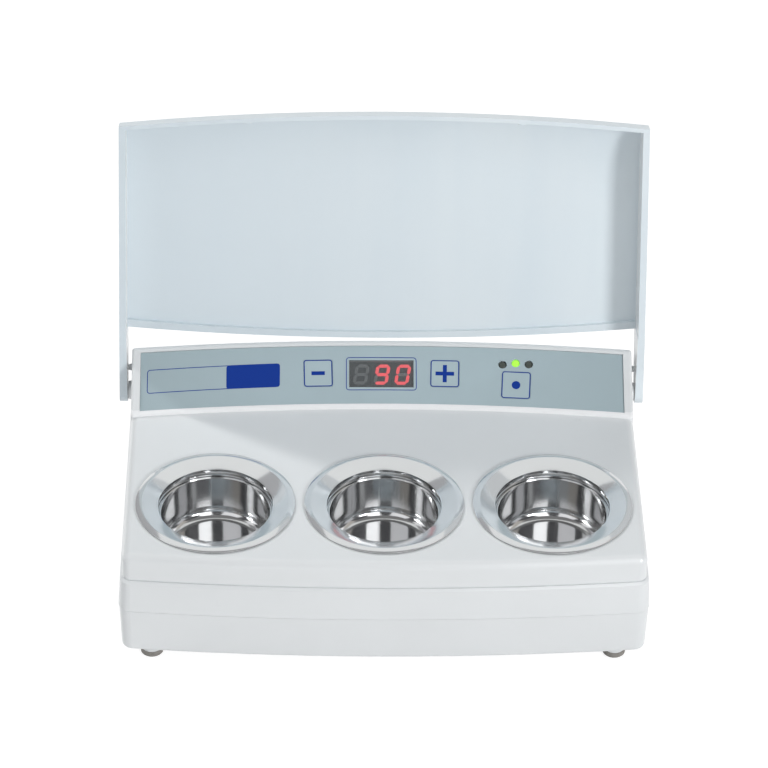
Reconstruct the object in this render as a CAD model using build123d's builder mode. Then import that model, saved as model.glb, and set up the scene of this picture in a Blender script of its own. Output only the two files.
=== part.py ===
from build123d import *
import os
from math import asin, cos, radians, sin, tan

# Three-well wax heater with a hinged hood, in millimetres.
# X runs to the right, Y to the back and Z up. The origin lies on the table, under the
# middle of the space that the heater takes with its hood open, which is how it stands here.

os.makedirs("parts", exist_ok=True)

# ---------------------------------------------------------------- driving dimensions
# Housing: a shallow box with a bowed front, a flat deck and a sloping panel behind it.
side_margin = 5.3        # from the outer wells' flanges to the side faces
front_y = -98.7          # front face at its middle
front_bow = 6.2          # how far the front face bows out over the width of the body
rear_y = 96.5            # rear wall at its middle
floor_z = 7.4            # underside of the tray above the table
seam_z = 34.0            # parting line between tray and upper housing
groove_z = 52.5          # trim groove, level with the rim of the closed hood
deck_z = 67.0
wall = 3.0
corner_radius = 4.4
rear_corner_radius = 8.0
band_proud = 1.4         # the band under the groove stands out this far at its top
band_draft = 3.6
band_chamfer = 1.1
lip_proud = 0.3          # small lip over the groove
lip_height = 1.2
tray_step = 0.3          # the tray starts this far inside the band
seam_gap = 0.5           # shadow gap under the band
groove_depth = 0.7
groove_width = 1.0
deck_edge_radius = 4.0
side_edge_radius = 1.4

# Panel: a strip of a cone that rises to the back, framed by a raised rim.
panel_slope = 32.0
foil_front_y = 31.0      # front edge of the foil at its middle
foil_front_z = 69.2
foil_length = 32.3
foil_side_margin = 4.7   # beside the foil, up to the side faces
foil_bow = 7.2           # how far the foil's front edge bows back over its width
foil_thickness = 0.8
rim_height = 0.7
panel_gap = 0.15         # round the foil, and round the rating plate
front_rim_width = 1.8
rear_rim_width = 3.0
ridge_radius = 2.4
rear_slope_end_z = 56.0  # the rear slope meets the upright rear wall here, at its middle

# Tray
tray_floor = 2.3
tray_draft = 1.8
tray_edge_radius = 2.8
tongue_height = 3.0
tongue_thickness = 0.9
shell_clearance = 0.1

# Wells
well_y = -50.0
flange_radius = 40.2
flange_gap = 4.6         # between neighbouring flanges
flange_lift = 1.6        # highest ring of the flange above the deck
flange_edge_lift = 0.9
band_width = 3.0         # bevelled outer band of the flange
dish_step = 0.4
dish_drop = 2.5
mouth_radius = 28.9      # bore over the pot's rim
mouth_drop = 4.2
cup_bore_radius = 28.2
cup_wall = 3.0
cup_floor = 4.0
gasket_thickness = 0.5
gasket_inset = 0.5
deck_hole_clearance = 0.6
pot_radius = 27.9
pot_wall = 0.5
pot_rim_radius = 28.6
pot_rim_thickness = 0.8
pot_depth = 24.0
pot_corner_radius = 6.0
pot_floor_gap = 0.4
neck_wall = 6.1          # threaded neck round the mouth, through the deck
clamp_ring_width = 6.5
clamp_ring_height = 4.0
heater_height = 14.0
heater_thickness = 2.4
terminal_size = (12.0, 5.0)
fit_gap = 0.08
sensor_radius = 2.5
sensor_height = 5.0

# Hood, drawn closed and then swung open
hood_side_gap = 7.0      # from the side faces to the hood's outer faces
hood_taper = 2.2         # each cheek comes in by this much towards the front
cheek_thickness = 3.4
hood_top_z = 76.5
hood_thickness = 2.6
hood_rim_z = 53.0
hood_front_gap = 2.3
hood_front_wall = 2.2
hood_front_upright = 8.0
hood_front_lean = 0.7    # the front wall thins by this over its upright part
hood_round_length = 39.0
hood_rear_gap = 3.2      # between the hood's rear edge and the panel's front rim
hood_rear_bow = 6.4
hood_rear_rib = 3.3
hood_rear_rib_drop = 2.4
arm_thickness = 4.2
arm_end_radius = 5.9
pivot_y = 52.1
pivot_z = 61.9
open_angle = 104.0
catch_spread = 70.0      # the two catch nubs on the front wall lie this far off centre
catch_radius = 2.2
catch_height = 1.0

# Hinge
pin_radius = 2.5
pin_fit = 0.06
pin_head_radius = 5.0
pin_head_thickness = 1.2
pin_head_sunk = 0.2
pin_head_gap = 0.35
boss_radius = 5.7
boss_tip_radius = 4.7
boss_tip_gap = 0.3
boss_inner_length = 8.0
clip_thickness = 0.8
clip_radius = 4.6
detent_distance = 13.0
detent_radius = 2.4
detent_tip_radius = 1.4

# Keys, display and lamps, placed along the panel: across, and up from the foil's front edge
key_size = 15.0
key_gap = 0.3
key_corner = 1.4
key_travel = 0.4
key_thickness = 1.6
key_up = 17.3
minus_across = -33.4
plus_across = 32.8
program_across = 69.9
program_up = 12.1
window_width = 33.7
window_height = 15.1
window_thickness = 0.6
window_sunk = 0.08
window_seat = 0.4
display_across = -0.4
display_up = 16.8
lamp_radius = 2.1
lamp_sunk = 0.6          # the lamps' tops lie this far under the film's face
lamp_spacing = 6.85
lamp_ups = (23.3, 24.4, 24.0)

# Display digits
digit_pitch = 10.85
digit_block_gap = 0.15
digit_width = 7.4
digit_height = 11.2
digit_shift = 0.4        # right of the middles of their blocks
segment_width = 1.65
segment_gap = 0.12       # from a segment's tips to where the middle lines of its neighbours cross
segment_thickness = 0.25
digit_slant = 10.0
display_gap = 0.3

# Boards
board_thickness = 1.6
control_board_width = 164.0
control_board_length = 25.0
control_board_depth = 12.0   # its face under the foil's, at the middle of the panel
control_board_up = 16.5
control_board_across = 6.0
board_edge = 5.0             # screws stand this far in from a board's edges
board_boss_radius = 2.7
switch_size = 6.2
switch_body_height = 3.6
plunger_gap = 0.05
plunger_radius = 1.7
stem_radius = 2.4
stem_length = 3.6
lamp_shoulder = 5.0
lamp_leg_radius = 1.3
lamp_clearance = 0.12
power_board_width = 116.0
power_board_length = 62.0
power_board_x = -52.0
power_board_y = 38.0
power_board_z = 17.0
standoff_radius = 3.2
screw_radius = 1.2
screw_head_radius = 2.3
screw_head_height = 1.4
screw_length = 6.0
screw_fit = 0.05
transformer_core = (34.0, 30.0, 24.0)
transformer_x = -86.0
transformer_y = 38.0
bobbin_width = 14.0
bobbin_bulge = 4.0
sink_size = (44.0, 3.0, 20.0)
sink_x = -32.0
sink_y = 26.0
triac_size = (10.0, 4.4, 15.0)
triac_pitch = 14.0
fuse_x = -22.0
fuse_y = 54.0
fuse_length = 20.0
fuse_radius = 2.6
fuse_base = (24.0, 8.0, 4.0)

# Wiring
lead_radius = 1.3
lead_pitch = 3.4
lead_bend = 4.0
lead_run_y = -4.0
lead_end_x = -14.0
mains_run_y = 60.0
ribbon_x = -48.0
ribbon_y = 58.0
ribbon_width = 16.0
ribbon_thickness = 0.9
ribbon_set_in = 8.0
ribbon_plug_height = 6.0

# Mains side, in the tray's rear wall
port_z = 20.0
port_flat_depth = 1.2
port_clearance = 0.1
inlet_x = 86.0
inlet_body = (27.0, 19.6, 24.0)
inlet_flange = (31.0, 23.0, 2.0)
inlet_cavity = (24.0, 16.4, 17.0)
inlet_corner = 2.0
blade = (4.0, 2.0, 20.0)
blade_spread = 7.0
blade_drop = 2.0
switch_x = 46.0
switch_body = (12.6, 19.6, 16.0)
switch_flange = (15.6, 23.0, 1.8)
rocker_window = (10.0, 16.4)
rocker_gap = 0.4
rocker_pivot_depth = 2.6     # turning axis below the switch's flange
rocker_proud = 4.25          # its two ends stand this far out from the turning axis
rocker_hollow = 1.4
rocker_keel = 4.0
rocker_swing = 18.0
rocker_well_depth = 11.0
trunnion_radius = 1.0        # the rocker's two bearing pins
trunnion_depth = 0.9         # of their holes in the switch's side walls

# Feet and fasteners
foot_inset = 13.5        # from the side faces to the feet's middles
foot_front_y = -85.0
foot_rear_y = 64.0
foot_radius = 5.8
foot_boss_height = 4.2
foot_boss_inset = 0.4
foot_edge_radius = 0.8
foot_peg_radius = 3.0
foot_peg_height = 1.6
post_radius = 4.2
side_post_inset = 11.5
rear_post_inset = 18.5
post_z = 24.0
case_screw_radius = 1.5
case_screw_length = 20.0
case_head_radius = 2.9
case_head_height = 1.8
case_head_sunk = 0.6

# Heat shield between the wells and the tray
shield_z = 26.8
shield_thickness = 0.8
shield_overlap = 15.0    # past the middles of the outer wells
shield_front_y = -80.0
shield_rear_y = -12.0
shield_lip = 6.0
shield_post_spread = 64.0
shield_post_inset = 9.0

plate_size = (60.0, 34.0)
plate_thickness = 0.3
plate_sunk = 0.2
plate_y = 10.0

# ---------------------------------------------------------------- worked out from them
well_pitch = 2 * flange_radius + flange_gap
body_half_width = well_pitch + flange_radius + side_margin
foil_half_width = body_half_width - foil_side_margin
hood_half_width = body_half_width + hood_side_gap
foot_x = body_half_width - foot_inset
shield_width = 2 * (well_pitch + shield_overlap)
front_radius = (body_half_width**2 + front_bow**2) / (2 * front_bow)
front_axis_y = front_y + front_radius
foil_radius = (foil_half_width**2 + foil_bow**2) / (2 * foil_bow)
back_axis_y = foil_front_y - foil_radius
slope_run = cos(radians(panel_slope))
slope_rise = sin(radians(panel_slope))
tray_wall = wall + shell_clearance + tongue_thickness
beyond = 2 * body_half_width   # longer than any cut needs to be

# The bowed faces are turned about two upright axes far in front of and behind the heater.
front_axis = Axis((0, front_axis_y, 0), (0, 0, 1))
back_axis = Axis((0, back_axis_y, 0), (0, 0, 1))
sweep_angle = 30.0


def section_plane(axis_y, heading):
    """Upright plane through a turning axis; its local x is the distance from the axis."""
    turn = radians(heading - sweep_angle / 2)
    return Plane(
        origin=(0, axis_y, 0),
        x_dir=(cos(turn), sin(turn), 0),
        z_dir=(sin(turn), -cos(turn), 0),
    )


back_section = section_plane(back_axis_y, 90)
front_section = section_plane(front_axis_y, 270)


def slope_point(up, lift):
    """Point of the panel's section: up the slope from the foil's front edge, lifted off it."""
    reach = foil_radius + up * slope_run - lift * slope_rise
    return (reach, foil_front_z + up * slope_rise + lift * slope_run)


def panel_frame(across, up, lift=0.0):
    """Plane on the panel, with y up the slope and z out of the panel."""
    reach, height = slope_point(up, lift)
    turn = asin(across / reach)
    return Plane(
        origin=(across, back_axis_y + reach * cos(turn), height),
        x_dir=(cos(turn), -sin(turn), 0),
        z_dir=(-slope_rise * sin(turn), -slope_rise * cos(turn), slope_run),
    )


def footprint(inset):
    """Plan of the housing, drawn this far inside its faces."""
    half = body_half_width - inset
    front_reach = front_radius - inset
    front_end = front_axis_y - (front_reach**2 - half**2) ** 0.5
    with BuildSketch() as plan:
        with BuildLine():
            ThreePointArc((-half, front_end), (0, front_y + inset), (half, front_end))
            Polyline(
                (half, front_end), (half, rear_y - inset), (-half, rear_y - inset), (-half, front_end)
            )
        make_face()
        corners = plan.vertices().sort_by(Axis.Y)
        fillet(corners[:2], corner_radius - inset)
        fillet(plan.vertices().sort_by(Axis.Y)[-2:], rear_corner_radius - inset)
    return plan.sketch


def space_over_housing(grow):
    """Section of the open space above the deck, the panel and the rear slope."""
    rim_front = slope_point(-front_rim_width, rim_height)
    rear_reach = rear_y - back_axis_y
    fall = (ridge[1] - rear_slope_end_z) / (rear_reach - ridge[0])
    with BuildSketch(back_section) as section:
        with BuildLine():
            Polyline(
                (foil_radius - beyond, deck_z),
                (rim_front[0], deck_z),
                rim_front,
                ridge,
                (rear_reach + beyond, rear_slope_end_z - fall * beyond),
                (rear_reach + beyond, ridge[1] + beyond),
                (foil_radius - beyond, ridge[1] + beyond),
                close=True,
            )
        make_face()
        if grow:
            offset(amount=grow, kind=Kind.INTERSECTION)
    return section.sketch


def panel_strip(start, end, half_width, low, high):
    """Solid strip over the panel, from one height to another above the foil's face."""
    with BuildPart() as strip:
        with BuildSketch(back_section):
            with BuildLine():
                Polyline(
                    slope_point(start, low),
                    slope_point(end, low),
                    slope_point(end, high),
                    slope_point(start, high),
                    close=True,
                )
            make_face()
        revolve(axis=back_axis, revolution_arc=sweep_angle)
        with BuildSketch(Plane.XY):
            Rectangle(2 * half_width, 2 * beyond)
        extrude(amount=beyond, mode=Mode.INTERSECT)
    return strip.part


def at_each(xs, ys):
    """Every pairing of these x and y values."""
    return [(x, y) for x in xs for y in ys]


def side_plane(side, x):
    """Upright plane at this distance from the middle, facing outwards; local x is +-Y."""
    return Plane(origin=(side * x, 0, 0), x_dir=(0, side, 0), z_dir=(side, 0, 0))


ridge = slope_point(foil_length + rear_rim_width, rim_height)
band_top_z = groove_z - groove_width / 2
band_edge_z = band_top_z - band_chamfer
band_foot = band_proud + (band_edge_z - seam_z) * tan(radians(band_draft))
tray_out = band_foot - tray_step   # the tray's top edge, outside the deck's outline
port_y = rear_y + tray_out - (seam_z - port_z) * tan(radians(tray_draft)) - port_flat_depth

post_places = [
    (side * x, y)
    for x, y in (
        (well_pitch / 2, -88.0),
        (body_half_width - side_post_inset, -2.0),
        (body_half_width - rear_post_inset, 82.0),
    )
    for side in (-1, 1)
]
foot_places = at_each((-foot_x, foot_x), (foot_front_y, foot_rear_y))
shield_post_places = at_each(
    (-shield_post_spread, shield_post_spread),
    (shield_front_y + shield_post_inset, shield_rear_y - shield_post_inset),
)
power_board_places = at_each(
    (power_board_x - power_board_width / 2 + board_edge, power_board_x + power_board_width / 2 - board_edge),
    (power_board_y - power_board_length / 2 + board_edge, power_board_y + power_board_length / 2 - board_edge),
)
well_places = [(-well_pitch, well_y), (0.0, well_y), (well_pitch, well_y)]
well_sides = ("left", "middle", "right")

# Levels inside a well
flange_bottom_z = deck_z + gasket_thickness
dish_top_z = deck_z + flange_lift
dish_bottom_z = dish_top_z - dish_drop
pot_rim_z = dish_bottom_z - mouth_drop
ledge_z = pot_rim_z - pot_rim_thickness
pot_floor_z = pot_rim_z - pot_depth
cup_floor_z = pot_floor_z - pot_wall - pot_floor_gap
cup_bottom_z = cup_floor_z - cup_floor
cup_radius = cup_bore_radius + cup_wall
neck_radius = mouth_radius + neck_wall
neck_z = ledge_z - cup_wall
deck_hole_radius = neck_radius + deck_hole_clearance

# Places on the panel
display_frame = panel_frame(display_across, display_up)
key_frames = {
    "minus_key": panel_frame(minus_across, key_up),
    "plus_key": panel_frame(plus_across, key_up),
    "program_key": panel_frame(program_across, program_up),
}
detent_y = pivot_y - detent_distance * cos(radians(open_angle))
detent_z = pivot_z + detent_distance * sin(radians(open_angle))
lamp_frames = {
    f"status_lamp_{side}": panel_frame(program_across + step * lamp_spacing, up)
    for side, step, up in zip(well_sides, (-1, 0, 1), lamp_ups)
}
control_board_frame = panel_frame(0, control_board_up, -control_board_depth)
control_screw_places = at_each(
    (control_board_across - control_board_width / 2 + board_edge,
     control_board_across + control_board_width / 2 - board_edge),
    (board_edge - control_board_length / 2, control_board_length / 2 - board_edge),
)

outer_plan = footprint(0)
band_plan = footprint(-band_foot)
band_top_plan = footprint(-band_proud)
lip_plan = footprint(-lip_proud)
inner_plan = footprint(wall)
groove_plan = footprint(groove_depth)
tray_plan = footprint(-tray_out)
seam_gap_plan = footprint(tray_step - tray_out)
tray_inner_plan = footprint(tray_wall)
tongue_plan = footprint(wall + shell_clearance)
around_plan = footprint(-2 * wall)
over_housing = space_over_housing(0)
over_housing_inside = space_over_housing(wall)
pivot_inside_x = body_half_width - wall - boss_inner_length

# ---------------------------------------------------------------- upper housing
with BuildPart() as housing_space:
    with BuildSketch(Plane.XY.offset(seam_z - wall)):
        add(inner_plan)
    extrude(amount=beyond)
    add(over_housing_inside)
    revolve(axis=back_axis, revolution_arc=sweep_angle, mode=Mode.SUBTRACT)
    with BuildSketch(Plane.XY.offset(seam_z)):
        with Locations(*post_places):
            Circle(post_radius)
    extrude(amount=beyond, mode=Mode.SUBTRACT)
    for side in (-1, 1):
        with BuildSketch(side_plane(side, pivot_inside_x)):
            with Locations((side * pivot_y, pivot_z)):
                Circle(boss_radius)
        extrude(amount=boss_inner_length + wall, mode=Mode.SUBTRACT)

with BuildPart() as upper_housing:
    with BuildSketch(Plane.XY.offset(seam_z)):
        add(outer_plan)
    extrude(amount=beyond)
    add(over_housing)
    revolve(axis=back_axis, revolution_arc=sweep_angle, mode=Mode.SUBTRACT)
    # Round the ridge and the panel's front rim, then the edges of the deck, sides and rear.
    ridge_z = ridge[1]
    rim_z = slope_point(-front_rim_width, rim_height)[1]
    arcs = upper_housing.edges().filter_by(GeomType.CIRCLE)
    fillet(arcs.filter_by_position(Axis.Z, ridge_z - 0.1, ridge_z + 0.1), ridge_radius)
    arcs = upper_housing.edges().filter_by(GeomType.CIRCLE)
    fillet(arcs.filter_by_position(Axis.Z, rim_z - 0.1, rim_z + 0.1), rim_height)
    at_deck = upper_housing.edges().filter_by_position(Axis.Z, deck_z - 0.1, deck_z + 0.1)
    fillet(at_deck.sort_by(Axis.Y)[:-1], deck_edge_radius)
    above_deck = upper_housing.edges().filter_by_position(Axis.Z, deck_z + 0.1, ridge_z)
    fillet(above_deck.filter_by(lambda edge: abs(edge.center().X) > foil_half_width), side_edge_radius)
    # Band under the trim groove, the lip over it, and the groove itself.
    with BuildSketch(Plane.XY.offset(seam_z)):
        add(band_plan)
    extrude(amount=band_edge_z - seam_z, taper=band_draft)
    with BuildSketch(Plane.XY.offset(band_edge_z)):
        add(band_top_plan)
    extrude(amount=band_chamfer, taper=45)
    with BuildSketch(Plane.XY.offset(groove_z)):
        add(lip_plan)
    extrude(amount=lip_height, taper=15)
    with BuildSketch(Plane.XY.offset(groove_z - groove_width / 2)):
        add(around_plan)
        add(groove_plan, mode=Mode.SUBTRACT)
    extrude(amount=groove_width, mode=Mode.SUBTRACT)
    add(housing_space.part, mode=Mode.SUBTRACT)
    # Posts that meet the tray's.
    with BuildSketch(Plane.XY.offset(post_z)):
        with Locations(*post_places):
            Circle(post_radius)
    extrude(amount=seam_z - post_z)
    with BuildSketch(Plane.XY.offset(post_z)):
        with Locations(*post_places):
            Circle(case_screw_radius + screw_fit)
    extrude(amount=case_screw_length, mode=Mode.SUBTRACT)
    # Openings for the wells, and the panel's recess and windows.
    with BuildSketch(Plane.XY.offset(deck_z)):
        with Locations(*well_places):
            Circle(deck_hole_radius)
    extrude(amount=-2 * wall, mode=Mode.SUBTRACT)
    foil_recess = panel_strip(
        -panel_gap, foil_length + panel_gap, foil_half_width + panel_gap, -foil_thickness, 2 * wall
    )
    add(foil_recess, mode=Mode.SUBTRACT)
    for frame in key_frames.values():
        with BuildSketch(frame):
            RectangleRounded(key_size + 3 * key_gap, key_size + 3 * key_gap, key_corner + 1.5 * key_gap)
        extrude(amount=-2 * wall, mode=Mode.SUBTRACT)
    for frame in lamp_frames.values():
        with BuildSketch(frame):
            Circle(lamp_radius + 2 * lamp_clearance)
        extrude(amount=-2 * wall, mode=Mode.SUBTRACT)
    with BuildSketch(display_frame):
        Rectangle(window_width - 2 * window_seat, window_height - 2 * window_seat)
    extrude(amount=-2 * wall, mode=Mode.SUBTRACT)
    # Bosses that carry the control board.
    with BuildSketch(control_board_frame):
        with Locations(*control_screw_places):
            Circle(board_boss_radius)
    extrude(amount=control_board_depth)
    with BuildSketch(control_board_frame):
        with Locations(*control_screw_places):
            Circle(screw_radius + screw_fit)
    extrude(amount=screw_length, mode=Mode.SUBTRACT)
    # Hinge bosses with their bores, and the nubs that hold the hood open.
    for side in (-1, 1):
        boss_root_x = body_half_width - wall / 2
        boss_tip_x = hood_half_width - arm_thickness - boss_tip_gap
        for y, z, root, tip in (
            (pivot_y, pivot_z, boss_radius, boss_tip_radius),
            (detent_y, detent_z, detent_radius, detent_tip_radius),
        ):
            with BuildSketch(side_plane(side, boss_root_x)):
                with Locations((side * y, z)):
                    Circle(root)
            with BuildSketch(side_plane(side, boss_tip_x)):
                with Locations((side * y, z)):
                    Circle(tip)
            loft()
        with BuildSketch(side_plane(side, pivot_inside_x - wall)):
            with Locations((side * pivot_y, pivot_z)):
                Circle(pin_radius + screw_fit)
        extrude(amount=hood_half_width, mode=Mode.SUBTRACT)
upper_housing.part.label = "upper_housing"
export_step(upper_housing.part, "parts/upper_housing.step")

# ---------------------------------------------------------------- tray
with BuildPart() as base_housing:
    with BuildSketch(Plane.XY.offset(seam_z)):
        add(tray_plan)
    extrude(amount=-(seam_z - floor_z), taper=tray_draft)
    fillet(base_housing.edges().group_by(Axis.Z)[0], tray_edge_radius)
    with BuildSketch(Plane.XY.offset(seam_z)):
        add(tray_inner_plan)
    extrude(amount=-(seam_z - floor_z - tray_floor), taper=tray_draft, mode=Mode.SUBTRACT)
    # Shadow gap under the band.
    with BuildSketch(Plane.XY.offset(seam_z - seam_gap)):
        add(around_plan)
        add(seam_gap_plan, mode=Mode.SUBTRACT)
    extrude(amount=seam_gap, mode=Mode.SUBTRACT)
    # Tongue that centres the upper housing.
    with BuildSketch(Plane.XY.offset(seam_z - tongue_height)):
        add(tongue_plan)
        add(tray_inner_plan, mode=Mode.SUBTRACT)
    extrude(amount=2 * tongue_height)
    # Screw posts, and the stands for the power board and the heat shield.
    with BuildSketch(Plane.XY.offset(floor_z)):
        with Locations(*post_places):
            Circle(post_radius)
    extrude(amount=post_z - floor_z)
    with BuildSketch(Plane.XY.offset(floor_z + tray_floor / 2)):
        with Locations(*power_board_places):
            Circle(standoff_radius)
    extrude(amount=power_board_z - floor_z - tray_floor / 2)
    with BuildSketch(Plane.XY.offset(power_board_z)):
        with Locations(*power_board_places):
            Circle(screw_radius + screw_fit)
    extrude(amount=-screw_length, mode=Mode.SUBTRACT)
    with BuildSketch(Plane.XY.offset(floor_z + tray_floor / 2)):
        with Locations(*shield_post_places):
            Circle(standoff_radius)
    extrude(amount=shield_z - floor_z - tray_floor / 2)
    with BuildSketch(Plane.XY.offset(shield_z)):
        with Locations(*shield_post_places):
            Circle(screw_radius + screw_fit)
    extrude(amount=-screw_length, mode=Mode.SUBTRACT)
    with BuildSketch(Plane.XY.offset(floor_z)):
        with Locations(*post_places):
            Circle(case_screw_radius + 2 * screw_fit)
    extrude(amount=post_z - floor_z, mode=Mode.SUBTRACT)
    with BuildSketch(Plane.XY.offset(floor_z)):
        with Locations(*post_places):
            Circle(case_head_radius + 2 * screw_fit)
    extrude(amount=case_head_height + case_head_sunk, mode=Mode.SUBTRACT)
    # Foot bosses, each with the socket for its rubber foot's peg.
    with BuildSketch(Plane.XY.offset(floor_z - foot_boss_height)):
        with Locations(*foot_places):
            Circle(foot_radius - foot_boss_inset)
    extrude(amount=foot_boss_height + tray_floor)
    with BuildSketch(Plane.XY.offset(floor_z - foot_boss_height)):
        with Locations(*foot_places):
            Circle(foot_peg_radius + screw_fit)
    extrude(amount=foot_peg_height + screw_fit, mode=Mode.SUBTRACT)
    # Flat with two openings for the mains inlet and the switch.
    for x, body, flange in ((inlet_x, inlet_body, inlet_flange), (switch_x, switch_body, switch_flange)):
        with BuildSketch(Plane.XZ.offset(-port_y)):
            with Locations((x, port_z)):
                RectangleRounded(flange[0] + 1, flange[1] + 1, inlet_corner)
        extrude(amount=-beyond, mode=Mode.SUBTRACT)
        with BuildSketch(Plane.XZ.offset(-port_y)):
            with Locations((x, port_z)):
                Rectangle(body[0] + 2 * port_clearance, body[1] + 2 * port_clearance)
        extrude(amount=body[2], mode=Mode.SUBTRACT)
    # Shallow bay for the rating plate.
    with BuildSketch(Plane.XY.offset(floor_z)):
        with Locations((0, plate_y)):
            Rectangle(plate_size[0] + 2 * panel_gap, plate_size[1] + 2 * panel_gap)
    extrude(amount=plate_thickness + plate_sunk, mode=Mode.SUBTRACT)
base_housing.part.label = "base_housing"
export_step(base_housing.part, "parts/base_housing.step")

with BuildPart() as rating_plate:
    with BuildSketch(Plane.XY.offset(floor_z + plate_sunk)):
        with Locations((0, plate_y)):
            RectangleRounded(*plate_size, inlet_corner)
    extrude(amount=plate_thickness)
rating_plate.part.label = "rating_plate"
export_step(rating_plate.part, "parts/rating_plate.step")

with BuildPart() as feet:
    with BuildSketch(Plane.XY):
        with Locations(*foot_places):
            Circle(foot_radius)
    extrude(amount=floor_z - foot_boss_height)
    fillet(feet.edges().group_by(Axis.Z)[0], foot_edge_radius)
    with BuildSketch(Plane.XY.offset(floor_z - foot_boss_height)):
        with Locations(*foot_places):
            Circle(foot_peg_radius)
    extrude(amount=foot_peg_height)
feet.part.label = "feet"
export_step(feet.part, "parts/feet.step")


def screws(frame, places, head, head_height, shank, length):
    """Pan-head screws whose heads rest on this plane, their shanks running along its z."""
    with BuildPart() as group:
        with BuildSketch(frame):
            with Locations(*places):
                Circle(head)
        extrude(amount=-head_height)
        chamfer(group.edges().sort_by(Axis(frame.origin, frame.z_dir))[:len(places)], head_height / 4)
        with BuildSketch(frame):
            with Locations(*places):
                Circle(shank)
        extrude(amount=length)
    return group.part


case_head_seat = Plane.XY.offset(floor_z + case_head_height + case_head_sunk)
with BuildPart() as housing_screws:
    add(screws(
        case_head_seat, post_places, case_head_radius, case_head_height, case_screw_radius, case_screw_length
    ))
housing_screws.part.label = "housing_screws"
export_step(housing_screws.part, "parts/housing_screws.step")

# ---------------------------------------------------------------- wells
gasket_radius = flange_radius - gasket_inset
clamp_top_z = deck_z - wall
heater_z = cup_bottom_z + cup_floor
for side, place in zip(well_sides, well_places):
    turning_axis = Axis((*place, 0), (0, 0, 1))
    half_section = Plane(origin=(*place, 0), x_dir=(1, 0, 0), z_dir=(0, -1, 0))

    with BuildPart() as heating_cup:
        with BuildSketch(half_section):
            with BuildLine():
                Polyline(
                    (0, cup_bottom_z),
                    (cup_radius, cup_bottom_z),
                    (cup_radius, neck_z),
                    (neck_radius, neck_z),
                    (neck_radius, flange_bottom_z),
                    (flange_radius, flange_bottom_z),
                    (flange_radius, deck_z + flange_edge_lift),
                    (flange_radius - band_width, dish_top_z),
                    (flange_radius - band_width - dish_step, dish_top_z),
                    (mouth_radius, dish_bottom_z),
                    (mouth_radius, ledge_z),
                    (cup_bore_radius, ledge_z),
                    (cup_bore_radius, cup_floor_z),
                    (0, cup_floor_z),
                    close=True,
                )
            make_face()
        revolve(axis=turning_axis)
    heating_cup.part.label = f"heating_cup_{side}"
    export_step(heating_cup.part, f"parts/heating_cup_{side}.step")

    with BuildPart() as wax_pot:
        with BuildSketch(half_section) as pot_section:
            with BuildLine():
                Polyline(
                    (0, pot_floor_z - pot_wall),
                    (pot_radius, pot_floor_z - pot_wall),
                    (pot_radius, ledge_z),
                    (pot_rim_radius, ledge_z),
                    (pot_rim_radius, pot_rim_z),
                    (pot_radius - pot_wall, pot_rim_z),
                    (pot_radius - pot_wall, pot_floor_z),
                    (0, pot_floor_z),
                    close=True,
                )
            make_face()
            outer_corner = pot_section.vertices().group_by(Axis.Y)[0].sort_by(Axis.X)[-1]
            fillet(outer_corner, pot_corner_radius + pot_wall)
            at_floor = pot_section.vertices().filter_by_position(
                Axis.Y, pot_floor_z - 0.01, pot_floor_z + 0.01
            )
            fillet(at_floor.sort_by(Axis.X)[-1], pot_corner_radius)
        revolve(axis=turning_axis)
    wax_pot.part.label = f"wax_pot_{side}"
    export_step(wax_pot.part, f"parts/wax_pot_{side}.step")

    with BuildPart() as flange_gasket:
        with BuildSketch(Plane.XY.offset(deck_z)):
            with Locations(place):
                Circle(gasket_radius)
                Circle(deck_hole_radius, mode=Mode.SUBTRACT)
        extrude(amount=gasket_thickness)
    flange_gasket.part.label = f"flange_gasket_{side}"
    export_step(flange_gasket.part, f"parts/flange_gasket_{side}.step")

    with BuildPart() as clamp_ring:
        with BuildSketch(Plane.XY.offset(clamp_top_z)):
            with Locations(place):
                Circle(neck_radius + clamp_ring_width)
                Circle(neck_radius + fit_gap, mode=Mode.SUBTRACT)
        extrude(amount=-clamp_ring_height)
        rim = clamp_ring.edges().group_by(Axis.Z)[0].sort_by(SortBy.LENGTH)[-1]
        chamfer(rim, clamp_ring_height / 4)
    clamp_ring.part.label = f"clamp_ring_{side}"
    export_step(clamp_ring.part, f"parts/clamp_ring_{side}.step")

    with BuildPart() as heater_band:
        with BuildSketch(Plane.XY.offset(heater_z)):
            with Locations(place):
                Circle(cup_radius + fit_gap + heater_thickness)
                Circle(cup_radius + fit_gap, mode=Mode.SUBTRACT)
        extrude(amount=heater_height)
        # Terminal block on the band's rear.
        block_y = place[1] + cup_radius + fit_gap + heater_thickness / 2
        with BuildSketch(Plane.XY.offset(heater_z + heater_height / 4)):
            with Locations((place[0], block_y)):
                Rectangle(terminal_size[0], terminal_size[1], align=(Align.CENTER, Align.MIN))
        extrude(amount=heater_height / 2)
    heater_band.part.label = f"heater_band_{side}"
    export_step(heater_band.part, f"parts/heater_band_{side}.step")

    with BuildPart() as temperature_sensor:
        with BuildSketch(Plane.XY.offset(cup_bottom_z)):
            with Locations(place):
                Circle(sensor_radius)
        extrude(amount=-sensor_height)
    temperature_sensor.part.label = f"temperature_sensor_{side}"
    export_step(temperature_sensor.part, f"parts/temperature_sensor_{side}.step")

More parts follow.
